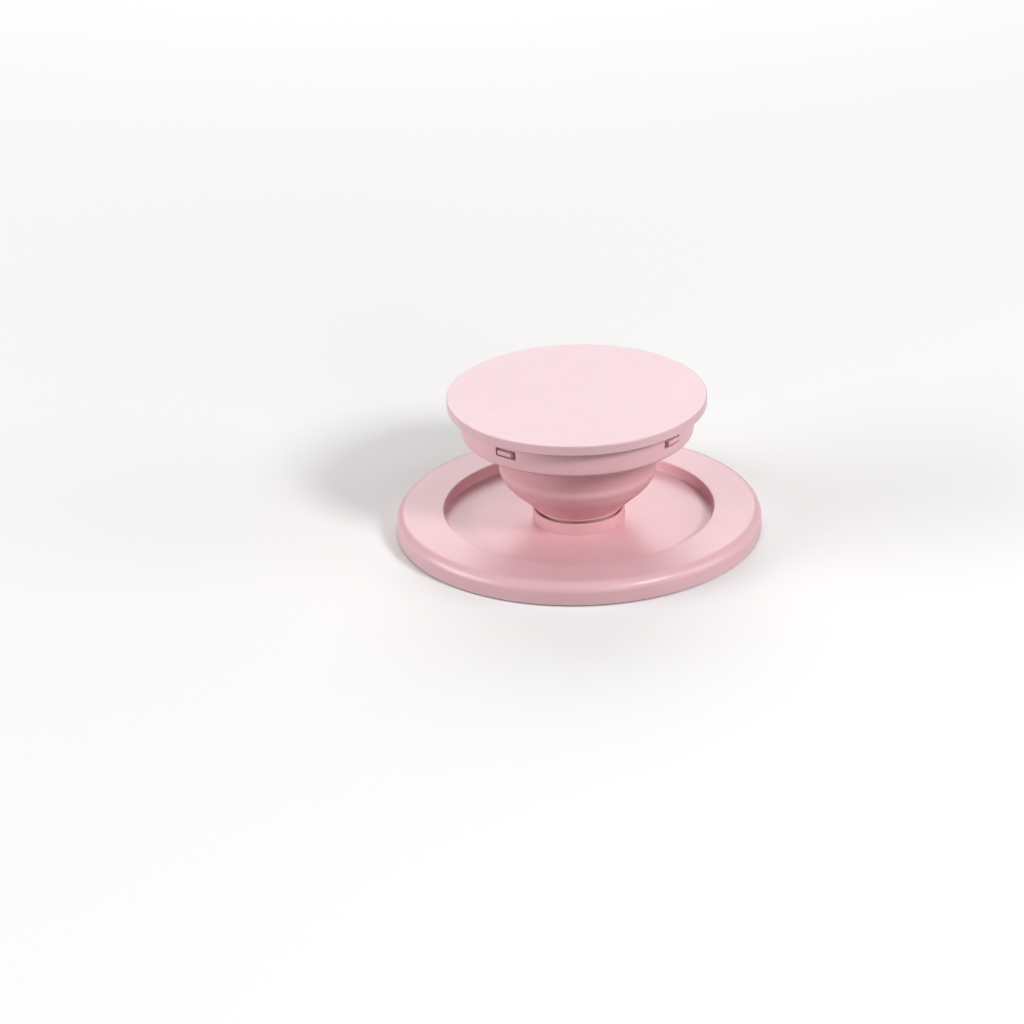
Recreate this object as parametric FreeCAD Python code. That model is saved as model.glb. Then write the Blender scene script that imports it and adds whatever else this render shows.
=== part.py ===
import FreeCAD, Part
import math
import os

# Collapsible magnetic phone grip: a round magnet base, a swivelling accordion stem and a latched
# top disc. Sizes are in millimetres. The Z axis is the axis of the stem, +Z points away from the
# phone, and z = 0 is the phone face of the soft pad.

# Magnet ring, sized to the ring in the phone
magnet_count = 18
magnet_ring_radius = 25.0
magnet_width = 4.0
magnet_thickness = 1.55
magnet_side_clearance = 0.4
magnet_rib_width = 0.5
magnet_rib_clearance = 0.1
shield_thickness = 0.35
shield_clearance = 0.05

# Base cover, base plate and soft pad
cover_wall = 1.2
recess_wall = 1.45
roof_thickness = 1.05
floor_thickness = 0.8
cover_edge_round = 1.15
recess_lip_round = 0.25
recess_floor_round = 0.55
plate_thickness = 0.8
plate_clearance = 0.1
magnet_shelf_depth = 0.3
pad_inner_radius = 9.5
pad_edge_margin = 2.1
pad_proud = 0.2
pad_seat_depth = 0.3
pad_clearance = 0.1
pad_edge_round = 0.15

# Collar of the cover and the accordion's foot that turns in it
foot_flange_radius = 6.8
foot_flange_thickness = 0.75
foot_neck_step = 0.7
foot_seat_step = 0.3
foot_well_gap = 0.3
running_clearance = 0.06
axial_clearance = 0.1
collar_wall = 1.1
collar_height = 2.4
collar_edge_round = 0.2
collar_foot_round = 0.12

# Rivet that stiffens the foot from inside
rivet_radius = 4.0
rivet_head_overlap = 1.4
rivet_head_thickness = 0.5
rivet_barb_overlap = 0.6
rivet_barb_height = 0.6
rivet_clearance = 0.05

# Accordion stem
bellows_wall = 1.1
bowl_foot_inset = 0.26
bowl_foot_gap = 0.45
bowl_foot_rise = 0.3
bowl_foot_round = 0.12
bowl_height = 6.85
bowl_knee_rise = 4.0
bowl_knee_inset = 0.95
bowl_knee_round = 5.0
crease_depth = 0.2
crease_half_height = 0.9
crease_round = 1.5
upper_wall_height = 6.45
upper_wall_lean = 1.2
bead_width = 2.9
bead_thickness = 0.7
bead_round = 0.2
bead_side_gap = 0.4
bead_clearance = 0.05

# Latch skirt and top disc
nest_clearance = 0.95
disc_overhang = 1.9
disc_thickness = 1.5
disc_top_round = 0.35
disc_bottom_round = 0.1
skirt_wall = 1.4
skirt_draft = 0.15
skirt_ledge_thickness = 1.0
skirt_ledge_gap = 0.4
skirt_bottom_round = 0.6
skirt_top_round = 0.2
window_count = 4
window_first_azimuth = 45.0
window_width = 3.75
window_height = 1.45
window_top_margin = 1.25
window_corner_round = 0.2
plug_clearance = 0.15
plug_wall = 1.4
lug_margin = 0.3
lug_side_margin = 0.6
lug_proud = 0.25
lug_lead_in = 0.3
latch_slit_width = 0.6

# Radii that follow from the magnet ring, from the rim inwards
magnet_outer_radius = magnet_ring_radius + magnet_width / 2
magnet_inner_radius = magnet_ring_radius - magnet_width / 2
channel_outer_radius = magnet_outer_radius + magnet_side_clearance
channel_inner_radius = magnet_inner_radius - magnet_side_clearance
base_radius = channel_outer_radius + cover_wall
plate_radius = channel_outer_radius - plate_clearance
recess_radius = channel_inner_radius - recess_wall
pad_outer_radius = channel_inner_radius - pad_edge_margin
disc_radius = recess_radius - nest_clearance
skirt_radius = disc_radius - disc_overhang
skirt_inner_radius = skirt_radius - skirt_wall
plug_radius = skirt_inner_radius - plug_clearance
bead_radius = skirt_inner_radius - bead_side_gap
upper_wall_radius = bead_radius - bead_width
ledge_hole_radius = upper_wall_radius + skirt_ledge_gap
shoulder_radius = upper_wall_radius - upper_wall_lean

# Radii of the foot and the collar
neck_radius = foot_flange_radius - foot_neck_step
seat_radius = neck_radius + foot_seat_step
collar_bore_radius = neck_radius + running_clearance
collar_radius = collar_bore_radius + collar_wall
bowl_foot_radius = collar_radius - bowl_foot_inset
well_radius = foot_flange_radius + foot_well_gap
rivet_hole_radius = rivet_radius + rivet_clearance
rivet_head_radius = rivet_radius + rivet_head_overlap

# Heights, stacked from the phone face upwards
underside_z = pad_proud
plate_top_z = underside_z + plate_thickness
shelf_z = plate_top_z - magnet_shelf_depth
magnet_top_z = shelf_z + magnet_thickness
shield_top_z = magnet_top_z + shield_thickness
roof_z = shield_top_z + shield_clearance
rim_z = roof_z + roof_thickness
floor_z = plate_top_z + floor_thickness
collar_bottom_z = rim_z - collar_height
flange_top_z = collar_bottom_z - axial_clearance
flange_bottom_z = flange_top_z - foot_flange_thickness
seat_z = rim_z + axial_clearance
bowl_bottom_z = rim_z + bowl_foot_gap
foot_top_z = bowl_bottom_z + bowl_foot_rise
crease_z = foot_top_z + bowl_height
bead_bottom_z = crease_z + upper_wall_height
bead_top_z = bead_bottom_z + bead_thickness
skirt_ledge_top_z = bead_bottom_z - bead_clearance
skirt_bottom_z = skirt_ledge_top_z - skirt_ledge_thickness
plug_bottom_z = bead_top_z + bead_clearance
window_top_z = plug_bottom_z + window_height
disc_bottom_z = window_top_z + window_top_margin
disc_top_z = disc_bottom_z + disc_thickness

ORIGIN = FreeCAD.Vector(0, 0, 0)
UP = FreeCAD.Vector(0, 0, 1)
FULL_TURN = 360.0


def round_corner(before, corner, after, radius):
    """Start, middle and end of the arc that rounds one corner, limited by the shorter side."""
    to_before = (before - corner).normalize()
    to_after = (after - corner).normalize()
    half_angle = to_before.getAngle(to_after) / 2
    longest_setback = 0.49 * min(before.distanceToPoint(corner), after.distanceToPoint(corner))
    setback = min(radius / math.tan(half_angle), longest_setback)
    fitted = setback * math.tan(half_angle)
    to_centre = (to_before + to_after).normalize()
    middle = corner + to_centre * (fitted / math.sin(half_angle) - fitted)
    return corner + to_before * setback, middle, corner + to_after * setback


def section(points):
    """Closed face in the XZ plane. Each point is (radius, z) or (radius, z, corner round)."""
    corners = [FreeCAD.Vector(point[0], 0, point[1]) for point in points]
    stops = []
    for index, point in enumerate(points):
        before = corners[index - 1]
        after = corners[(index + 1) % len(corners)]
        if len(point) == 3:
            stops.append(round_corner(before, corners[index], after, point[2]))
        else:
            stops.append((corners[index],))
    edges = []
    for index, stop in enumerate(stops):
        edges.append(Part.LineSegment(stops[index - 1][-1], stop[0]).toShape())
        if len(stop) == 3:
            edges.append(Part.Arc(*stop).toShape())
    return Part.Face(Part.Wire(edges))


def turned(points):
    """Solid of revolution about the Z axis."""
    return section(points).revolve(ORIGIN, UP, FULL_TURN)


def sector(points, angle, azimuth):
    """Part of a solid of revolution, centred on an azimuth counted from -Y towards +X."""
    solid = section(points).revolve(ORIGIN, UP, angle)
    solid.rotate(ORIGIN, UP, azimuth - 90 - angle / 2)
    return solid


def radial_edges(solid):
    """Straight level edges of a sector, which run from its inner to its outer wall."""
    straight = [edge for edge in solid.Edges if isinstance(edge.Curve, Part.Line)]
    return [edge for edge in straight if abs(edge.tangentAt(edge.FirstParameter).z) < 0.5]


def ring_points(inner_radius, outer_radius, bottom_z, top_z):
    """Plain rectangular section of a ring."""
    return [(inner_radius, bottom_z), (outer_radius, bottom_z), (outer_radius, top_z), (inner_radius, top_z)]


def arc_angle(length, radius):
    """Angle in degrees that an arc of this length takes at this radius."""
    return math.degrees(length / radius)


def around(count, first_azimuth=0.0):
    """Azimuths of evenly spaced copies."""
    return [first_azimuth + FULL_TURN * index / count for index in range(count)]


def offset_path(path, distance):
    """Path of (radius, z) points moved to its left by a distance, with mitred corners."""
    normals = []
    for (r0, z0), (r1, z1) in zip(path, path[1:]):
        length = math.hypot(r1 - r0, z1 - z0)
        normals.append(((z0 - z1) / length, (r1 - r0) / length))
    moved = []
    for index, (r, z) in enumerate(path):
        first = normals[max(index - 1, 0)]
        second = normals[min(index, len(normals) - 1)]
        scale = distance / (1 + first[0] * second[0] + first[1] * second[1])
        moved.append((r + scale * (first[0] + second[0]), z + scale * (first[1] + second[1])))
    return moved


def make_base_cover():
    """Moulded shell: rim over the magnet channel, sunk floor and the collar for the foot."""
    return turned([
        (base_radius, underside_z),
        (base_radius, rim_z, cover_edge_round),
        (recess_radius, rim_z, recess_lip_round),
        (recess_radius, floor_z, recess_floor_round),
        (collar_radius, floor_z, collar_foot_round),
        (collar_radius, rim_z, collar_edge_round),
        (collar_bore_radius, rim_z),
        (collar_bore_radius, collar_bottom_z),
        (well_radius, collar_bottom_z),
        (well_radius, plate_top_z),
        (channel_inner_radius, plate_top_z),
        (channel_inner_radius, roof_z),
        (channel_outer_radius, roof_z),
        (channel_outer_radius, underside_z),
    ])


def make_base_plate():
    """Closing plate: pad seat below, stepped shelf with ribs that space the magnets above."""
    shelf_radius = magnet_inner_radius - magnet_side_clearance / 2
    plate = turned([
        (well_radius, underside_z),
        (pad_inner_radius - pad_clearance, underside_z),
        (pad_inner_radius - pad_clearance, underside_z + pad_seat_depth),
        (pad_outer_radius + pad_clearance, underside_z + pad_seat_depth),
        (pad_outer_radius + pad_clearance, underside_z),
        (plate_radius, underside_z),
        (plate_radius, shelf_z),
        (shelf_radius, shelf_z),
        (shelf_radius, plate_top_z),
        (well_radius, plate_top_z),
    ])
    rib_points = ring_points(shelf_radius, magnet_outer_radius, shelf_z, plate_top_z)
    rib_angle = arc_angle(magnet_rib_width, magnet_ring_radius)
    half_pitch = FULL_TURN / magnet_count / 2
    ribs = [sector(rib_points, rib_angle, azimuth) for azimuth in around(magnet_count, half_pitch)]
    return plate.fuse(ribs).removeSplitter()


def make_grip_pad():
    """Soft ring that stands slightly proud of the plate and meets the phone."""
    return turned([
        (pad_inner_radius, 0, pad_edge_round),
        (pad_outer_radius, 0, pad_edge_round),
        (pad_outer_radius, underside_z + pad_seat_depth),
        (pad_inner_radius, underside_z + pad_seat_depth),
    ])


def make_magnet_shield():
    """Thin steel ring that closes the field above the magnets."""
    return turned(ring_points(magnet_inner_radius, magnet_outer_radius, magnet_top_z, shield_top_z))


def make_magnet(azimuth):
    """One arc-shaped magnet between two ribs of the plate."""
    gap = arc_angle(magnet_rib_width + 2 * magnet_rib_clearance, magnet_ring_radius)
    points = ring_points(magnet_inner_radius, magnet_outer_radius, shelf_z, magnet_top_z)
    return sector(points, FULL_TURN / magnet_count - gap, azimuth)


def make_accordion():
    """Moulded bellows: spool-shaped foot, bowl, creased fold, upper wall and clamped bead."""
    outside = [
        (bowl_foot_radius, foot_top_z),
        (shoulder_radius - bowl_knee_inset, foot_top_z + bowl_knee_rise),
        (shoulder_radius, crease_z),
        (upper_wall_radius, bead_bottom_z),
    ]
    inside = offset_path(outside, bellows_wall)
    foot_cone_run = (outside[1][0] - outside[0][0]) / bowl_knee_rise
    foot_floor_radius = inside[0][0] - (inside[0][1] - foot_top_z) * foot_cone_run
    head_recess_z = flange_bottom_z + rivet_head_thickness
    return turned([
        (rivet_head_radius + rivet_clearance, flange_bottom_z),
        (foot_flange_radius, flange_bottom_z),
        (foot_flange_radius, flange_top_z),
        (neck_radius, flange_top_z),
        (neck_radius, seat_z),
        (seat_radius, seat_z),
        (seat_radius, bowl_bottom_z),
        (bowl_foot_radius, bowl_bottom_z, bowl_foot_round),
        outside[0],
        (*outside[1], bowl_knee_round),
        (shoulder_radius, crease_z - crease_half_height, crease_round),
        (shoulder_radius - crease_depth, crease_z, crease_round),
        (shoulder_radius, crease_z + crease_half_height, crease_round),
        (*outside[3], bead_round),
        (bead_radius, bead_bottom_z, bead_round),
        (bead_radius, bead_top_z, bead_round),
        (inside[3][0], bead_top_z),
        inside[3],
        inside[2],
        (*inside[1], bowl_knee_round - bellows_wall),
        (foot_floor_radius, foot_top_z),
        (rivet_hole_radius, foot_top_z),
        (rivet_hole_radius, head_recess_z),
        (rivet_head_radius + rivet_clearance, head_recess_z),
    ])


def make_foot_rivet():
    """Plug with a flat head below and a barb above that keeps the foot's flange spread."""
    head_top_z = flange_bottom_z + rivet_head_thickness - rivet_clearance
    barb_bottom_z = foot_top_z + rivet_clearance
    barb_radius = rivet_radius + rivet_barb_overlap
    return turned([
        (0, flange_bottom_z),
        (rivet_head_radius, flange_bottom_z),
        (rivet_head_radius, head_top_z),
        (rivet_radius, head_top_z),
        (rivet_radius, barb_bottom_z),
        (barb_radius, barb_bottom_z),
        (rivet_radius, barb_bottom_z + rivet_barb_height),
        (0, barb_bottom_z + rivet_barb_height),
    ])


def make_latch_skirt():
    """Ring under the disc: inner ledge that carries the bead, and windows for the lugs."""
    skirt = turned([
        (ledge_hole_radius, skirt_bottom_z),
        (skirt_radius - skirt_draft, skirt_bottom_z, skirt_bottom_round),
        (skirt_radius, disc_bottom_z, skirt_top_round),
        (skirt_inner_radius, disc_bottom_z),
        (skirt_inner_radius, skirt_ledge_top_z),
        (ledge_hole_radius, skirt_ledge_top_z),
    ])
    window_points = ring_points(plug_radius, disc_radius, plug_bottom_z, window_top_z)
    window_angle = arc_angle(window_width, skirt_radius)
    windows = []
    for azimuth in around(window_count, window_first_azimuth):
        window = sector(window_points, window_angle, azimuth)
        windows.append(window.makeFillet(window_corner_round, radial_edges(window)))
    return skirt.cut(windows)


def make_top_disc():
    """Flat disc with a plug ring below, slit into snap fingers that carry the lugs."""
    plug_inner_radius = plug_radius - plug_wall
    disc = turned([
        (0, disc_bottom_z),
        (plug_inner_radius, disc_bottom_z),
        (plug_inner_radius, plug_bottom_z),
        (plug_radius, plug_bottom_z),
        (plug_radius, disc_bottom_z),
        (disc_radius, disc_bottom_z, disc_bottom_round),
        (disc_radius, disc_top_z, disc_top_round),
        (0, disc_top_z),
    ])
    lug_bottom_z = plug_bottom_z + lug_margin
    lug_top_z = window_top_z - lug_margin
    lug_radius = skirt_radius + lug_proud
    lug_points = [
        (plug_radius - plug_wall / 2, lug_bottom_z),
        (lug_radius - lug_lead_in, lug_bottom_z),
        (lug_radius, lug_bottom_z + lug_lead_in),
        (lug_radius, lug_top_z),
        (plug_radius - plug_wall / 2, lug_top_z),
    ]
    lug_angle = arc_angle(window_width - 2 * lug_side_margin, skirt_radius)
    slit_points = ring_points(plug_inner_radius - plug_wall, plug_radius + plug_clearance / 2, 0, window_top_z)
    slit_angle = arc_angle(latch_slit_width, plug_radius)
    slit_offset = (lug_angle + slit_angle) / 2
    lugs = []
    slits = []
    for azimuth in around(window_count, window_first_azimuth):
        lugs.append(sector(lug_points, lug_angle, azimuth))
        slits.append(sector(slit_points, slit_angle, azimuth - slit_offset))
        slits.append(sector(slit_points, slit_angle, azimuth + slit_offset))
    return disc.fuse(lugs).cut(slits).removeSplitter()


pieces = {
    "base_cover": make_base_cover(),
    "base_plate": make_base_plate(),
    "grip_pad": make_grip_pad(),
    "magnet_shield": make_magnet_shield(),
    "accordion": make_accordion(),
    "foot_rivet": make_foot_rivet(),
    "latch_skirt": make_latch_skirt(),
    "top_disc": make_top_disc(),
}
for number, azimuth in enumerate(around(magnet_count), start=1):
    pieces[f"magnet_{number:02d}"] = make_magnet(azimuth)

os.makedirs("parts", exist_ok=True)
for name, shape in pieces.items():
    shape.exportStep(f"parts/{name}.step")
    print(f"{name}: {len(shape.Solids)} solid, {shape.Volume:.1f} mm3, valid {shape.isValid()}")

print(f"base {2 * base_radius:.2f} wide, rim at {rim_z:.2f}, floor at {floor_z:.2f}")
print(f"disc {2 * disc_radius:.2f} wide, skirt bottom at {skirt_bottom_z:.2f}, top at {disc_top_z:.2f}")
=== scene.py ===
# %% [markdown]
# # A collapsible magnetic phone grip
#
# The grip has five pieces that show: a round base with a sunk middle, a collar in its centre, an
# accordion stem, a skirt ring with four latch windows, and a flat top disc. All five are round, so
# each one starts as a half section that is turned about the stem axis, as on a lathe. The
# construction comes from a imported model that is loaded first. It fixes the outer sizes, and
# nothing here moves or resizes it.

# %% Load the frame
import math

import bmesh
import bpy
from mathutils import Matrix, Vector


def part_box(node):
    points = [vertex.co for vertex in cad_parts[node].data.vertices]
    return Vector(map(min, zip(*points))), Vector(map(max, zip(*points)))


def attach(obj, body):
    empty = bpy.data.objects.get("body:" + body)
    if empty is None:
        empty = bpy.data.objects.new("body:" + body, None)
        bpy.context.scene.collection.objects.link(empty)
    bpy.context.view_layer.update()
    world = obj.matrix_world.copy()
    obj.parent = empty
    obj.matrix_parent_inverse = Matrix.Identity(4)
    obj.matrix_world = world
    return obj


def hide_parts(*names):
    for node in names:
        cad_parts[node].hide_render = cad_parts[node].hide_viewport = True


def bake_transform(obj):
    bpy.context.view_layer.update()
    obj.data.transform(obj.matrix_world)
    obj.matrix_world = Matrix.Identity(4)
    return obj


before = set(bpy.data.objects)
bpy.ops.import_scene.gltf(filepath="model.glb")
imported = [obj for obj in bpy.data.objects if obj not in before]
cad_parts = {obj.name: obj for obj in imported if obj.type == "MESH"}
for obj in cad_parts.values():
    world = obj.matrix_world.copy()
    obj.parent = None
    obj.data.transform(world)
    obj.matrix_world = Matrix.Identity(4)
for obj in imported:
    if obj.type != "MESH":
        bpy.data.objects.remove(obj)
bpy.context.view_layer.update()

# %% [markdown]
# Lengths are written in millimetres, because the drawing of such a part is in millimetres, and
# MM turns them into Blender's metres. Outer sizes are read from the frame. A section's inner
# corners can't be read from a box, so they are named where a section is drawn.

# %% Read the outer sizes
MM = 0.001


def outer_size(node):
    """Outer radius, lowest height and highest height of a turned node, in millimetres."""
    low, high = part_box(node)
    return high.x / MM, low.z / MM, high.z / MM


base_radius, under_z, rim_z = outer_size("base_cover")
_, _, plate_top_z = outer_size("base_plate")
_, _, shield_top_z = outer_size("magnet_shield")
bead_radius, flange_bottom_z, bead_top_z = outer_size("accordion")
skirt_radius, skirt_bottom_z, disc_bottom_z = outer_size("latch_skirt")
disc_radius, plug_bottom_z, disc_top_z = outer_size("top_disc")
print(f"base {2 * base_radius:.1f} mm wide, disc {2 * disc_radius:.1f} mm, height {disc_top_z:.1f} mm")

# %% [markdown]
# ## Turning a half section
#
# A lathe part can be made from stacked cylinders, but then its rounded edges need a bevel on
# every ring. It is easier to round the half section while it is still flat. The outline is drawn
# point by point by extruding one vertex, filled as a face, and each corner gets a vertex bevel.
# The bevel's offset is the distance from the corner to the start of the arc, which follows from
# the radius and the angle of the corner. Then the face is deleted, the outline is spun about the
# Z axis, and the seam is merged.
#
# Long straight runs are cut into shorter ones first, because a stem that folds needs rings that
# can move, and because even rings keep the shading of a flat rim flat.

# %% Draw a half section
ARC_STEPS = 8
ARC_SHARE = 0.49
MERGE = 1e-7


def choose(piece, part, test):
    """Select the vertices or edges of a mesh in edit mode that pass a test."""
    bpy.ops.mesh.select_mode(type="VERT" if part == "verts" else "EDGE")
    bpy.ops.mesh.select_all(action="DESELECT")
    mesh = bmesh.from_edit_mesh(piece.data)
    for element in getattr(mesh, part):
        element.select_set(test(element))
    bmesh.update_edit_mesh(piece.data)


def arc_start(before, corner, after, rounding):
    """Distance from a corner to the start of its arc, less than half of the shorter side."""
    half_angle = (before - corner).angle(after - corner) / 2
    shorter = min((before - corner).length, (after - corner).length)
    return min(rounding * MM / math.tan(half_angle), ARC_SHARE * shorter)


def draw_section(name, points):
    """Draw the closed half section (radius, height, rounding) as a flat outline in the XZ plane."""
    bpy.ops.object.select_all(action="DESELECT")
    bpy.ops.mesh.primitive_plane_add(size=MM)
    piece = bpy.context.object
    piece.name = piece.data.name = name
    corners = [Vector((radius, 0, height)) * MM for radius, height, _ in points]
    bpy.ops.object.mode_set(mode="EDIT")
    bpy.ops.mesh.select_mode(type="VERT")
    bpy.ops.mesh.select_all(action="SELECT")
    bpy.ops.mesh.merge(type="CENTER")
    bpy.ops.transform.translate(value=corners[0])
    for here, there in zip(corners, corners[1:]):
        bpy.ops.mesh.extrude_vertices_move(TRANSFORM_OT_translate={"value": there - here})
    bpy.ops.mesh.select_all(action="SELECT")
    bpy.ops.mesh.edge_face_add()
    for index, (_, _, rounding) in enumerate(points):
        if rounding > 0:
            before, corner, after = corners[index - 1], corners[index], corners[(index + 1) % len(corners)]
            choose(piece, "verts", lambda vertex: (vertex.co - corner).length < MERGE)
            offset = arc_start(before, corner, after, rounding)
            bpy.ops.mesh.bevel(offset=offset, segments=ARC_STEPS, affect="VERTICES")
    bpy.ops.mesh.select_all(action="SELECT")
    bpy.ops.mesh.delete(type="ONLY_FACE")
    return piece


# %% Turn and smooth it
TURN_STEPS = 256
RUN_MM = 1.5
SMOOTH_ANGLE = math.radians(32)


def divide_runs(piece, longest):
    """Cut every straight run of the outline into lengths of at most this many millimetres."""
    mesh = bmesh.from_edit_mesh(piece.data)
    cuts_needed = sorted({int(edge.calc_length() / MM / longest) for edge in mesh.edges} - {0})
    for cuts in cuts_needed:
        choose(piece, "edges", lambda edge: int(edge.calc_length() / MM / longest) == cuts)
        bpy.ops.mesh.subdivide(number_cuts=cuts)


def spin_section(piece):
    """Turn the outline about the Z axis into a closed skin."""
    choose(piece, "edges", lambda edge: all(abs(vertex.co.x) < MERGE for vertex in edge.verts))
    bpy.ops.mesh.delete(type="EDGE")
    bpy.ops.mesh.select_all(action="SELECT")
    bpy.ops.mesh.spin(steps=TURN_STEPS, angle=2 * math.pi, center=(0, 0, 0), axis=(0, 0, 1))
    bpy.ops.mesh.select_all(action="SELECT")
    bpy.ops.mesh.remove_doubles(threshold=MERGE)
    bpy.ops.mesh.normals_make_consistent(inside=False)
    bpy.ops.object.mode_set(mode="OBJECT")


def turned(name, points, longest=RUN_MM):
    """A turned piece from its half section."""
    piece = draw_section(name, points)
    divide_runs(piece, longest)
    spin_section(piece)
    return piece


def smooth(piece):
    """Shade smooth but for sharp edges, with normals that follow the large flat faces."""
    bpy.ops.object.select_all(action="DESELECT")
    piece.select_set(True)
    bpy.context.view_layer.objects.active = piece
    bpy.ops.object.shade_smooth_by_angle(angle=SMOOTH_ANGLE)
    weighted = piece.modifiers.new("flat faces first", "WEIGHTED_NORMAL")
    weighted.keep_sharp = True
    bpy.ops.object.modifier_apply(modifier=weighted.name)


def report(piece):
    """Print how large the finished mesh is."""
    size = piece.dimensions / MM
    print(f"{piece.name}: {len(piece.data.polygons)} faces, {size.x:.2f} x {size.y:.2f} x {size.z:.2f} mm")


# %% [markdown]
# ## Base cover
#
# The base is one moulded shell. A rim covers the magnet channel, the middle is sunk so that the
# top can lie in it, and a hole in the centre takes the stem's foot. The rim's outer edge has a
# generous radius that catches a long highlight. The lip of the sunk floor is tighter, and the
# wall meets the floor in a narrow hollow round, so that its shade stays even.

# %% Base cover
recess_radius = 21.15
floor_thickness = 0.8
floor_z = plate_top_z + floor_thickness
collar_bore = 6.16
ledge_drop = 2.4
ledge_z = rim_z - ledge_drop
well_radius = 7.1
channel_inner = 22.6
outer_wall = 1.2
channel_outer = base_radius - outer_wall
shield_play = 0.05
roof_z = shield_top_z + shield_play
under_round = 0.12
rim_round = 1.6
lip_round = 0.25
hollow_round = 0.15

cover = turned("cover_shell", [
    (base_radius, under_z, under_round),
    (base_radius, rim_z, rim_round),
    (recess_radius, rim_z, lip_round),
    (recess_radius, floor_z, hollow_round),
    (collar_bore, floor_z, 0),
    (collar_bore, ledge_z, 0),
    (well_radius, ledge_z, 0),
    (well_radius, plate_top_z, 0),
    (channel_inner, plate_top_z, 0),
    (channel_inner, roof_z, 0),
    (channel_outer, roof_z, 0),
    (channel_outer, under_z, 0),
])
smooth(cover)
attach(cover, "base")
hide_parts("base_cover")
report(cover)

# %% [markdown]
# ## Collar
#
# The collar stands round the hole and guides the stem's neck. It is given the deeper pink of the stem,
# which paints in the shade that falls on it under the bowl, so it is a piece of its own with its
# own finish. Its bore opens into a funnel at the top. From the side one looks past the lip into
# that funnel, which draws the dark line under the bowl. The ring reaches a little into the floor,
# so that no gap shows below it.

# %% Collar
collar_radius = 7.26
collar_lip = 0.45
funnel_depth = 0.8
collar_root_z = floor_z - 0.1
collar_round = 0.2
mouth_round = 0.06

collar = turned("collar_ring", [
    (collar_radius, collar_root_z, 0),
    (collar_radius, rim_z, collar_round),
    (collar_radius - collar_lip, rim_z, mouth_round),
    (collar_bore, rim_z - funnel_depth, 0),
    (collar_bore, collar_root_z, 0),
])
smooth(collar)
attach(collar, "base")
report(collar)

# %% [markdown]
# ## Accordion stem
#
# The stem is one moulded elastomer bellows. Its foot is a spool that is trapped in the collar,
# and above it a bowl opens to a creased fold and a steeper upper wall. A flat bead at the top is
# clamped under the disc. The wall is drawn twice, once outside and once inside, a wall's
# thickness apart.
#
# In the grip the stem's foot stays with the stem and its bead goes down with the top, so the wall
# folds as the top comes down. Here the stem is one baked mesh, not attached to either body, cut
# into many short rings between foot and bead.

# %% Outer wall of the stem
flange_radius = 6.8
flange_play = 0.1
flange_top_z = ledge_z - flange_play
flange_round = 0.1
neck_radius = 6.1
seat_radius = 6.4
seat_z = rim_z + 0.1
foot_radius = 7.0
bowl_bottom_z = rim_z + 0.45
foot_top_z = bowl_bottom_z + 0.3
foot_edge_round = 0.12
foot_round = 0.3
knee = Vector((11.45, foot_top_z + 4.0))
knee_round = 5.0
shoulder_radius = 12.4
crease_z = foot_top_z + 6.85
crease_half = 0.9
crease_depth = 0.2
crease_round = 1.5
upper_radius = 13.6
bead_bottom_z = bead_top_z - 0.7
bead_round = 0.2
print(f"bowl from {bowl_bottom_z:.2f} mm, crease at {crease_z:.2f} mm, bead under {bead_top_z:.2f} mm")

# %% Inner wall of the stem
wall = 1.1
inner_knee_round = 3.9
inner_shoulder_round = 1.0
rivet_hole = 4.05
rivet_head = 5.45
head_recess_z = flange_bottom_z + 0.5


def inner_corner(before, corner, after):
    """Corner of the wall's inner side, the same thickness away from both runs."""
    first = (corner - before).normalized()
    second = (after - corner).normalized()
    normals = Vector((-first.y, first.x)), Vector((-second.y, second.x))
    return corner + (normals[0] + normals[1]) * wall / (1 + normals[0].dot(normals[1]))


foot_corner = Vector((foot_radius, foot_top_z))
shoulder = Vector((shoulder_radius, crease_z))
upper_corner = Vector((upper_radius, bead_bottom_z))
inner_knee = inner_corner(foot_corner, knee, shoulder)
inner_shoulder = inner_corner(knee, shoulder, upper_corner)
upper_lean = (upper_radius - shoulder_radius) / (bead_bottom_z - crease_z)
inner_upper = inner_shoulder.x + upper_lean * (bead_bottom_z - inner_shoulder.y)
cone_run = (knee.x - foot_radius) / (knee.y - foot_top_z)
inner_foot = inner_knee.x - cone_run * (inner_knee.y - foot_top_z)
print(f"inner wall {inner_foot:.2f} mm wide at the foot and {inner_upper:.2f} mm at the bead")

# %% Turn the stem
FOLD_RING_MM = 0.45

stem = turned("bellows_stem", [
    (rivet_head, flange_bottom_z, 0),
    (flange_radius, flange_bottom_z, flange_round),
    (flange_radius, flange_top_z, flange_round),
    (neck_radius, flange_top_z, 0),
    (neck_radius, seat_z, 0),
    (seat_radius, seat_z, 0),
    (seat_radius, bowl_bottom_z, 0),
    (foot_radius, bowl_bottom_z, foot_edge_round),
    (foot_radius, foot_top_z, foot_round),
    (knee.x, knee.y, knee_round),
    (shoulder_radius, crease_z - crease_half, crease_round),
    (shoulder_radius - crease_depth, crease_z, crease_round),
    (shoulder_radius, crease_z + crease_half, crease_round),
    (upper_radius, bead_bottom_z, bead_round),
    (bead_radius, bead_bottom_z, bead_round),
    (bead_radius, bead_top_z, bead_round),
    (inner_upper, bead_top_z, bead_round),
    (inner_shoulder.x, inner_shoulder.y, inner_shoulder_round),
    (inner_knee.x, inner_knee.y, inner_knee_round),
    (inner_foot, foot_top_z, foot_round),
    (rivet_hole, foot_top_z, 0),
    (rivet_hole, head_recess_z, 0),
    (rivet_head, head_recess_z, 0),
], longest=FOLD_RING_MM)
smooth(stem)
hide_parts("accordion")
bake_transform(stem)
report(stem)

# %% [markdown]
# ## Latch skirt
#
# The skirt is a ring under the disc with four windows for the disc's lugs. The ring is turned
# first, and a window is one block with rounded corners that is copied four times around the axis
# and cut out with a Boolean. The cut leaves knife-sharp edges that no moulded part has, so the
# window's outer edges get a narrow bevel.

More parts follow.
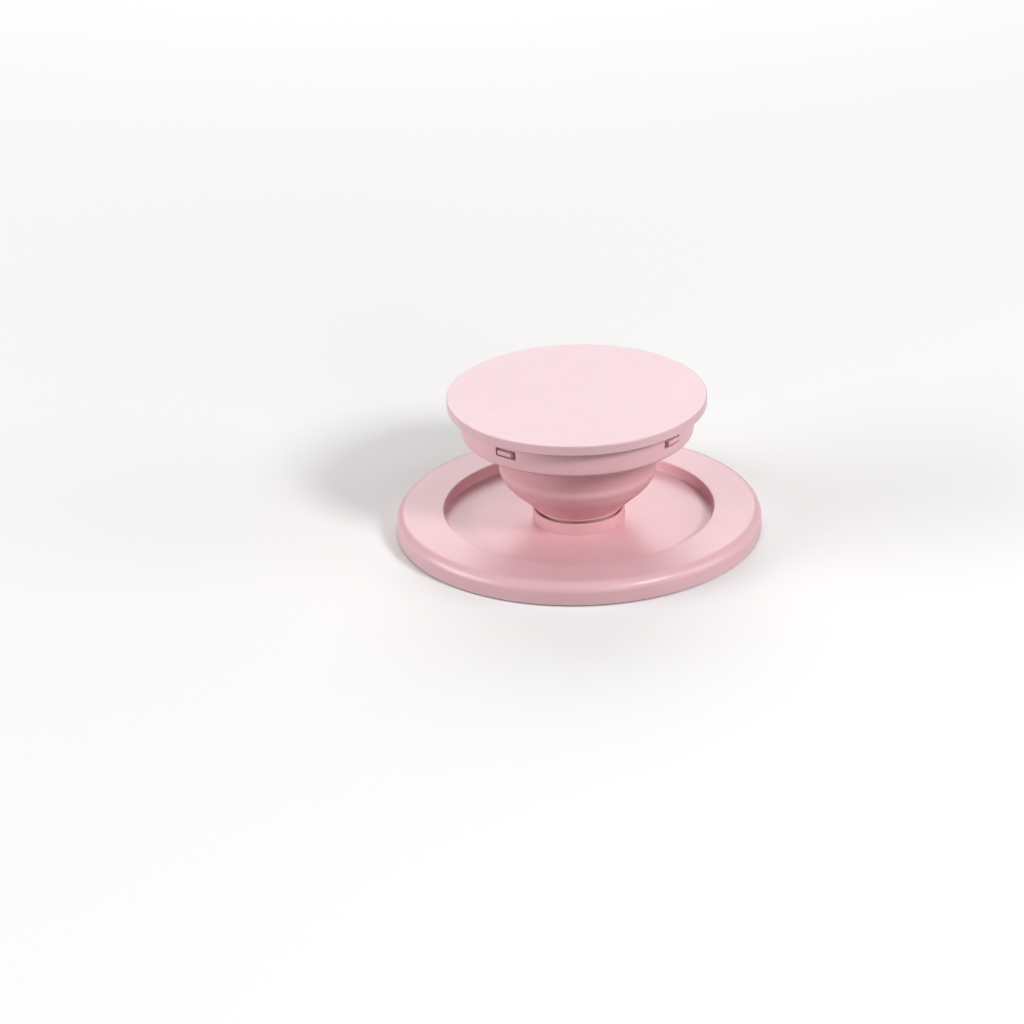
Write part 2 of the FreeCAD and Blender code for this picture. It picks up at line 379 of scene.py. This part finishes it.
# %% Blocks, copies and Booleans
def block(name, inner, outer, width, low, high):
    """A block across the X axis, from an inner to an outer radius, applied to its mesh."""
    bpy.ops.object.select_all(action="DESELECT")
    bpy.ops.mesh.primitive_cube_add(size=1)
    piece = bpy.context.object
    piece.name = piece.data.name = name
    bpy.ops.object.mode_set(mode="EDIT")
    bpy.ops.transform.resize(value=((outer - inner) * MM, width * MM, (high - low) * MM))
    bpy.ops.transform.translate(value=((outer + inner) / 2 * MM, 0, (high + low) / 2 * MM))
    bpy.ops.object.mode_set(mode="OBJECT")
    return piece


def around_axis(piece, azimuths):
    """Join turned copies of a piece, each with its own mesh. Azimuth 0 is -Y, towards +X."""
    copies = []
    for azimuth in azimuths:
        copy = piece.copy()
        copy.data = piece.data.copy()
        copy.data.transform(Matrix.Rotation(azimuth - math.pi / 2, 4, "Z"))
        bpy.context.scene.collection.objects.link(copy)
        copies.append(copy)
    bpy.data.objects.remove(piece)
    bpy.ops.object.select_all(action="DESELECT")
    for copy in copies:
        copy.select_set(True)
    bpy.context.view_layer.objects.active = copies[0]
    bpy.ops.object.join()
    return bpy.context.object


def combine(piece, tool, operation):
    """Apply a Boolean with a tool that is then removed."""
    boolean = piece.modifiers.new(operation.lower(), "BOOLEAN")
    boolean.operation = operation
    boolean.solver = "EXACT"
    boolean.object = tool
    bpy.context.view_layer.objects.active = piece
    bpy.ops.object.modifier_apply(modifier=boolean.name)
    bpy.data.objects.remove(tool)


# %% Turn the skirt
skirt_inner = skirt_radius - 1.4
ledge_hole = upper_radius + 0.4
skirt_ledge_z = skirt_bottom_z + 1.0
skirt_taper = 0.15
skirt_hole_round = 0.15
skirt_foot_round = 0.6
skirt_top_round = 0.2
skirt_run = 1.0

skirt = turned("windowed_skirt", [
    (ledge_hole, skirt_bottom_z, skirt_hole_round),
    (skirt_radius - skirt_taper, skirt_bottom_z, skirt_foot_round),
    (skirt_radius, disc_bottom_z, skirt_top_round),
    (skirt_inner, disc_bottom_z, 0),
    (skirt_inner, skirt_ledge_z, 0),
    (ledge_hole, skirt_ledge_z, 0),
], longest=skirt_run)
report(skirt)

# %% Cut the windows
WINDOW_COUNT = 4
WINDOW_AZIMUTH = math.radians(45)
CUT_MARGIN = 0.1
window_azimuths = [WINDOW_AZIMUTH + 2 * math.pi * index / WINDOW_COUNT for index in range(WINDOW_COUNT)]
window_width = 3.75
window_bottom_z = plug_bottom_z
window_top_z = window_bottom_z + 1.45
window_corner = 0.2

window = block("window", skirt_inner - CUT_MARGIN, disc_radius, window_width, window_bottom_z, window_top_z)
bpy.ops.object.mode_set(mode="EDIT")
choose(window, "edges", lambda edge: abs(edge.verts[0].co.x - edge.verts[1].co.x) > MERGE)
bpy.ops.mesh.bevel(offset=window_corner * MM, segments=4, affect="EDGES")
bpy.ops.object.mode_set(mode="OBJECT")
combine(skirt, around_axis(window, window_azimuths), "DIFFERENCE")
report(skirt)

# %% Soften the windows' edges
EDGE_MARGIN = 0.01
OUTER_SKIN = 0.3
SHARP_ANGLE = math.radians(50)
window_edge_round = 0.08


def on_window_edge(edge):
    """True on the outline of a window in the skirt's outer wall."""
    middle = (edge.verts[0].co + edge.verts[1].co) / 2
    outside = math.hypot(middle.x, middle.y) / MM > skirt_radius - OUTER_SKIN
    in_height = window_bottom_z - EDGE_MARGIN < middle.z / MM < window_top_z + EDGE_MARGIN
    return outside and in_height and edge.is_manifold and edge.calc_face_angle() > SHARP_ANGLE


bpy.ops.object.mode_set(mode="EDIT")
choose(skirt, "edges", on_window_edge)
bpy.ops.mesh.bevel(offset=window_edge_round * MM, segments=3, affect="EDGES", clamp_overlap=True)
bpy.ops.object.mode_set(mode="OBJECT")
smooth(skirt)
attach(skirt, "top")
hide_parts("latch_skirt")
report(skirt)

# %% [markdown]
# ## Top disc
#
# The disc is turned with the ring below it that plugs into the skirt. Four lugs stand on that
# ring and reach a little out of the windows. A lug is a block whose lower outer edge is cut back,
# so that it can ride over the skirt when the disc is pushed on. Two slits beside each lug let it
# give. Lugs are joined with a Boolean union and slits are cut, so the disc stays one closed skin.

# %% Turn the disc
plug_radius = skirt_inner - 0.15
plug_inner = plug_radius - 1.4
disc_under_round = 0.1
disc_edge_round = 0.18

disc = turned("disc_and_lugs", [
    (0, disc_bottom_z, 0),
    (plug_inner, disc_bottom_z, 0),
    (plug_inner, plug_bottom_z, 0),
    (plug_radius, plug_bottom_z, 0),
    (plug_radius, disc_bottom_z, 0),
    (disc_radius, disc_bottom_z, disc_under_round),
    (disc_radius, disc_top_z, disc_edge_round),
    (0, disc_top_z, 0),
])
report(disc)

# %% Join the lugs
lug_radius = skirt_radius + 0.25
lug_root = plug_radius - 0.7
lug_width = window_width - 1.2
lug_gap = 0.3
lug_bottom_z = window_bottom_z + lug_gap
lug_top_z = window_top_z - lug_gap
lead_in = 0.3
lug_edge_round = 0.07
lug_front = lug_radius - 0.32


def on_lead_in(vertex):
    """True at the lower outer edge of a lug."""
    return vertex.co.x / MM > lug_radius - EDGE_MARGIN and vertex.co.z / MM < lug_bottom_z + EDGE_MARGIN


lug = block("lug", lug_root, lug_radius, lug_width, lug_bottom_z, lug_top_z)
bpy.ops.object.mode_set(mode="EDIT")
choose(lug, "edges", lambda edge: all(on_lead_in(vertex) for vertex in edge.verts))
bpy.ops.mesh.bevel(offset=lead_in * MM, segments=1, affect="EDGES")
choose(lug, "edges", lambda edge: all(vertex.co.x / MM > lug_front for vertex in edge.verts))
bpy.ops.mesh.bevel(offset=lug_edge_round * MM, segments=3, affect="EDGES")
bpy.ops.object.mode_set(mode="OBJECT")
combine(disc, around_axis(lug, window_azimuths), "UNION")
report(disc)

# %% Cut the slits
slit_width = 0.6
slit_margin = 0.5
slit_reach = 0.07
slit_shift = (lug_width + slit_width) / 2 / plug_radius
slit_azimuths = [azimuth + side * slit_shift for azimuth in window_azimuths for side in (-1, 1)]

slit = block("slit", plug_inner - slit_margin, plug_radius + slit_reach, slit_width,
             plug_bottom_z - slit_margin, window_top_z)
combine(disc, around_axis(slit, slit_azimuths), "DIFFERENCE")
smooth(disc)
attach(disc, "top")
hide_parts("top_disc")
report(disc)

# %% [markdown]
# ## Materials
#
# The colours are sRGB hex values, as a colour picker shows them, and one function turns them into
# the linear values that the shader needs. Another small function adds a node with its values and
# links, so that each material reads as a short list of what it is made of.

# %% Helpers for materials
def linear(hex_colour):
    """Linear RGBA from an sRGB hex value."""
    channels = [int(hex_colour[place:place + 2], 16) / 255 for place in (1, 3, 5)]
    return [c / 12.92 if c <= 0.04045 else ((c + 0.055) / 1.055) ** 2.4 for c in channels] + [1.0]


def add_node(tree, kind, values=None, links=None, **settings):
    """Add a node, set its options and values, and link its inputs to other nodes' outputs."""
    node = tree.nodes.new(kind)
    for option, setting in settings.items():
        setattr(node, option, setting)
    for name, value in (values or {}).items():
        node.inputs[name].default_value = value
    for name, output in (links or {}).items():
        tree.links.new(output, node.inputs[name])
    return node


def new_material(name):
    """An empty node material with its output, and the object coordinates that patterns read."""
    material = bpy.data.materials.new(name)
    material.use_nodes = True
    tree = material.node_tree
    tree.nodes.clear()
    output = add_node(tree, "ShaderNodeOutputMaterial")
    place = add_node(tree, "ShaderNodeTexCoord").outputs["Object"]
    return material, tree, output, place


def per_metre(size_mm):
    """Noise scale whose features are about this many millimetres wide."""
    return 1 / (size_mm * MM)


def paint(piece, material):
    """Give a piece one material."""
    piece.data.materials.clear()
    piece.data.materials.append(material)


# %% [markdown]
# ### Moulded plastic and elastomer
#
# The shells are injection-moulded ABS from a finely spark-eroded mould. That gives a satin face:
# a broad soft highlight, with a grain of some hundredths of a millimetre. At this size such a
# grain is finer than a pixel, so it is drawn at a third of a millimetre and very shallow. Pigment
# never mixes evenly, so the colour drifts a little over several millimetres, and a little light
# scatters inside the plastic and warms the shadows.
#
# The disc comes from a smoother mould, so its flat top is plainer and takes more of the light
# behind it. Its pink is a little less red than the rim's, which paints in part of the pale sheen
# on its top. The stem is a thermoplastic elastomer in a deeper pink: duller, softer and slightly
# more translucent.

# %% Moulded plastic
DRIFT_MM = 9.0
HAZE_MM = 2.5
RAMP_ENDS = (0.3, 0.7)
GRAIN_STRENGTH = 0.5
SCATTER_MM = 0.8
SCATTER_RGB = (1.0, 0.45, 0.40)


def moulded_plastic(name, pale, deep, rough, grain_mm, grain_depth_mm, ior, scatter, haze_range=0.04):
    """Moulded plastic with drifting pigment, fine mould grain and a little scattering."""
    material, tree, output, place = new_material(name)
    drift = add_node(tree, "ShaderNodeTexNoise", {"Scale": per_metre(DRIFT_MM), "Detail": 2.0},
                     {"Vector": place})
    colour = add_node(tree, "ShaderNodeValToRGB", links={"Fac": drift.outputs["Fac"]})
    for element, position, shade in zip(colour.color_ramp.elements, RAMP_ENDS, (deep, pale)):
        element.position = position
        element.color = linear(shade)
    haze = add_node(tree, "ShaderNodeTexNoise", {"Scale": per_metre(HAZE_MM), "Detail": 3.0},
                    {"Vector": place})
    gloss = add_node(tree, "ShaderNodeMapRange", {"To Min": rough - haze_range, "To Max": rough + haze_range},
                     {"Value": haze.outputs["Fac"]})
    grain = add_node(tree, "ShaderNodeTexNoise", {"Scale": per_metre(grain_mm), "Detail": 2.0},
                     {"Vector": place})
    relief = add_node(tree, "ShaderNodeBump", {"Strength": GRAIN_STRENGTH, "Distance": grain_depth_mm * MM},
                      {"Height": grain.outputs["Fac"]})
    surface = add_node(
        tree, "ShaderNodeBsdfPrincipled",
        {"IOR": ior, "Subsurface Weight": scatter, "Subsurface Radius": SCATTER_RGB,
         "Subsurface Scale": SCATTER_MM * MM},
        {"Base Color": colour.outputs["Color"], "Roughness": gloss.outputs["Result"],
         "Normal": relief.outputs["Normal"]})
    tree.links.new(surface.outputs["BSDF"], output.inputs["Surface"])
    return material


# %% Pink shells, collar and stem
ABS_IOR = 1.53

# Satin ABS gives broad highlights with soft ends on the rim and the skirt.
satin_abs = moulded_plastic(
    "satin_moulded_abs_pink", "#e4b7be", "#e0b2b9", rough=0.35, grain_mm=0.33, grain_depth_mm=0.005,
    ior=ABS_IOR, scatter=0.12)

# Smoother ABS gives an even sheen over the whole flat of the disc, and its slightly less red pink paints in
# part of that pale sheen.
smooth_abs_painted_sheen = moulded_plastic(
    "smooth_abs_pink_painted_sheen", "#dfb8bf", "#dcb4bb", rough=0.30, grain_mm=0.33, grain_depth_mm=0.001,
    ior=ABS_IOR, scatter=0.12, haze_range=0.01)

# Elastomer hardly shines, so its folds read by their shade.
elastomer_and_collar_shade = moulded_plastic(
    "matte_elastomer_pink_and_collar_shade", "#d5a5aa", "#cf9fa4", rough=0.55, grain_mm=0.30, grain_depth_mm=0.012,
    ior=1.50, scatter=0.20)

paint(cover, satin_abs)
paint(skirt, satin_abs)
paint(disc, smooth_abs_painted_sheen)
paint(stem, elastomer_and_collar_shade)
# The collar takes the stem's deeper pink, which paints in the shade that falls on it under the bowl.
paint(collar, elastomer_and_collar_shade)
print("moulded materials:", satin_abs.name, smooth_abs_painted_sheen.name, elastomer_and_collar_shade.name)

# %% [markdown]
# ### Pieces below and inside
#
# The plate, pad, rivet, magnets and shield keep their shapes from the frame and only need their
# finishes. They show from below or with the grip taken apart. The magnets are nickel plated, which
# gives a bright, slightly cloudy metal, and the shield is bare stamped steel with rolling marks.

# %% Plate, pad and rivet
# Coarser ABS looks dull beside the shells, as hidden faces of a moulding do.
plate_abs = moulded_plastic(
    "matte_moulded_abs_pink", "#e2b4bb", "#ddadb5", rough=0.50, grain_mm=0.33, grain_depth_mm=0.012,
    ior=ABS_IOR, scatter=0.10)

# Silicone looks soft and a little waxy, with almost no highlight.
silicone = moulded_plastic(
    "soft_silicone_pink", "#d09aa2", "#c9919a", rough=0.62, grain_mm=0.28, grain_depth_mm=0.015,
    ior=1.41, scatter=0.20)

# Natural nylon is a milky off-white that lets some light in.
nylon = moulded_plastic(
    "natural_nylon", "#ece5d8", "#e6decf", rough=0.45, grain_mm=0.40, grain_depth_mm=0.010,
    ior=1.53, scatter=0.20)

finishes = {"base_plate": plate_abs, "grip_pad": silicone, "foot_rivet": nylon}
print("plastic finishes:", sorted(finishes))

# %% Magnets and shield
CLOUD_MM = 0.5
CLOUD_RANGE = 0.06


def plated_metal(name, hex_colour, rough, streak):
    """Metal with a cloudy roughness that is drawn out along X this many times."""
    material, tree, output, place = new_material(name)
    stretched = add_node(tree, "ShaderNodeMapping", {"Scale": (1 / streak, 1.0, 1.0)}, {"Vector": place})
    cloud = add_node(tree, "ShaderNodeTexNoise", {"Scale": per_metre(CLOUD_MM), "Detail": 3.0},
                     {"Vector": stretched.outputs["Vector"]})
    gloss = add_node(tree, "ShaderNodeMapRange",
                     {"To Min": rough - CLOUD_RANGE, "To Max": rough + CLOUD_RANGE},
                     {"Value": cloud.outputs["Fac"]})
    surface = add_node(tree, "ShaderNodeBsdfPrincipled", {"Base Color": linear(hex_colour), "Metallic": 1.0},
                       {"Roughness": gloss.outputs["Result"]})
    tree.links.new(surface.outputs["BSDF"], output.inputs["Surface"])
    return material


# Nickel plating is bright and a little warm, with a cloudy shine.
nickel = plated_metal("nickel_plate", "#cfcbc2", rough=0.28, streak=1.0)

# Stamped steel is greyer, with fine marks along the way it was rolled.
finishes["magnet_shield"] = plated_metal("stamped_steel", "#a9abae", rough=0.38, streak=12.0)

for node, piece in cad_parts.items():
    if node in finishes:
        paint(piece, finishes[node])
    elif node.startswith("magnet_"):
        paint(piece, nickel)
print("finished frame pieces:", sorted(finishes), "and the magnets")

# %% [markdown]
# ## Floor and light
#
# The floor is pale and plain. It looks nearly white to the camera and in reflections, but it
# gives back less light than it seems to, so that the grip's sides keep their depth and the base
# doesn't glow from below.
#
# Five softboxes light the grip. A small key on the right gives the clear streak on the rim, and
# low boxes at both sides model the round forms. A weak one in front opens the shade under the
# disc. The one behind is the only light that the flat top mirrors to the camera, which makes the
# top the palest face.

# %% Floor
FLOOR_SIZE = 6.0

bpy.ops.object.select_all(action="DESELECT")
bpy.ops.mesh.primitive_plane_add(size=FLOOR_SIZE)
floor = bpy.context.object
floor.name = "studio_floor"
pale_floor, tree, output, _ = new_material("pale_floor")
rays = add_node(tree, "ShaderNodeLightPath")
camera_or_glossy = add_node(tree, "ShaderNodeMath", operation="MAXIMUM", links={
    0: rays.outputs["Is Camera Ray"], 1: rays.outputs["Is Glossy Ray"]})
seen = add_node(tree, "ShaderNodeMath", operation="MAXIMUM", links={
    0: camera_or_glossy.outputs["Value"], 1: rays.outputs["Is Transmission Ray"]})
hidden = add_node(tree, "ShaderNodeBsdfDiffuse", {"Color": linear("#3c3a3a")})
shown = add_node(tree, "ShaderNodeBsdfDiffuse", {"Color": linear("#fdfcfc")})
floor_mix = add_node(tree, "ShaderNodeMixShader", links={
    0: seen.outputs["Value"], 1: hidden.outputs["BSDF"], 2: shown.outputs["BSDF"]})
tree.links.new(floor_mix.outputs["Shader"], output.inputs["Surface"])
paint(floor, pale_floor)
print(f"floor {floor.dimensions.x:.1f} m wide")

# %% Softboxes
CAMERA_AZIMUTH = math.radians(-6.7)
LIGHT_TARGET = Vector((0, 0, 10 * MM))
LIGHT_DISTANCE = 0.60


def softbox(name, azimuth, elevation, width, height, watts):
    """An area light aimed at the grip. Azimuth is counted from the camera, to the right."""
    turn = CAMERA_AZIMUTH + math.radians(azimuth)
    rise = math.radians(elevation)
    away = Vector((math.sin(turn) * math.cos(rise), -math.cos(turn) * math.cos(rise), math.sin(rise)))
    data = bpy.data.lights.new(name, "AREA")
    data.shape = "RECTANGLE"
    data.size = width
    data.size_y = height
    data.energy = watts
    light = bpy.data.objects.new(name, data)
    light.location = LIGHT_TARGET + away * LIGHT_DISTANCE
    light.rotation_euler = away.to_track_quat("Z", "Y").to_euler()
    bpy.context.scene.collection.objects.link(light)
    print(f"{name}: {watts} W, {width} x {height} m")


softbox("right_key", 45, 35, 0.13, 0.13, 1.98)
softbox("right_fill", 80, 14, 0.24, 0.24, 0.85)
softbox("front_fill", 20, 14, 0.24, 0.24, 0.55)
softbox("left_softbox", -79, 14, 0.44, 0.26, 2.85)
softbox("back_softbox", 180, 30, 0.50, 0.32, 1.60)

# %% World
WORLD_STRENGTH = 0.20

world = bpy.data.worlds.new("studio_world")
bpy.context.scene.world = world
world.use_nodes = True
background = world.node_tree.nodes["Background"]
background.inputs["Color"].default_value = linear("#fdfcfb")
background.inputs["Strength"].default_value = WORLD_STRENGTH
bpy.context.scene.view_settings.view_transform = "Standard"
print("world strength", WORLD_STRENGTH)

# %% [markdown]
# ## Camera
#
# The camera was worked out from the circles of the grip in the photograph: their widths and
# heights give the viewing angle and the distance, and the centre of the base gives the aim. The
# image is square, and the principal point is its middle, so no lens shift is needed.

# %% Camera
IMAGE_PX = 1024
FOCAL_PX = 4002.8
SENSOR_MM = 36.0
BASE_CENTRE_PX = (579.2, 526.56)
CAMERA_ELEVATION = math.radians(24.893)
CAMERA_ROLL = math.radians(-1.598)
CAMERA_DEPTH = 629.8 * MM
CLIP_START = 0.01

back = Vector((
    math.sin(CAMERA_AZIMUTH) * math.cos(CAMERA_ELEVATION),
    -math.cos(CAMERA_AZIMUTH) * math.cos(CAMERA_ELEVATION),
    math.sin(CAMERA_ELEVATION)))
level_right = (-back).cross(Vector((0, 0, 1))).normalized()
level_up = level_right.cross(-back)
right = level_right * math.cos(CAMERA_ROLL) + level_up * math.sin(CAMERA_ROLL)
up = -level_right * math.sin(CAMERA_ROLL) + level_up * math.cos(CAMERA_ROLL)
across = (BASE_CENTRE_PX[0] - IMAGE_PX / 2) / FOCAL_PX * CAMERA_DEPTH
above = (IMAGE_PX / 2 - BASE_CENTRE_PX[1]) / FOCAL_PX * CAMERA_DEPTH

camera_data = bpy.data.cameras.new("photo_camera")
camera_data.sensor_fit = "HORIZONTAL"
camera_data.sensor_width = SENSOR_MM
camera_data.lens = FOCAL_PX * SENSOR_MM / IMAGE_PX
camera_data.clip_start = CLIP_START
camera = bpy.data.objects.new("photo_camera", camera_data)
bpy.context.scene.collection.objects.link(camera)
turn = Matrix((right, up, back)).transposed().to_4x4()
camera.matrix_world = Matrix.Translation(back * CAMERA_DEPTH - right * across - up * above) @ turn
bpy.context.scene.camera = camera
print(f"camera {camera_data.lens:.1f} mm at {tuple(round(c, 4) for c in camera.location)}")
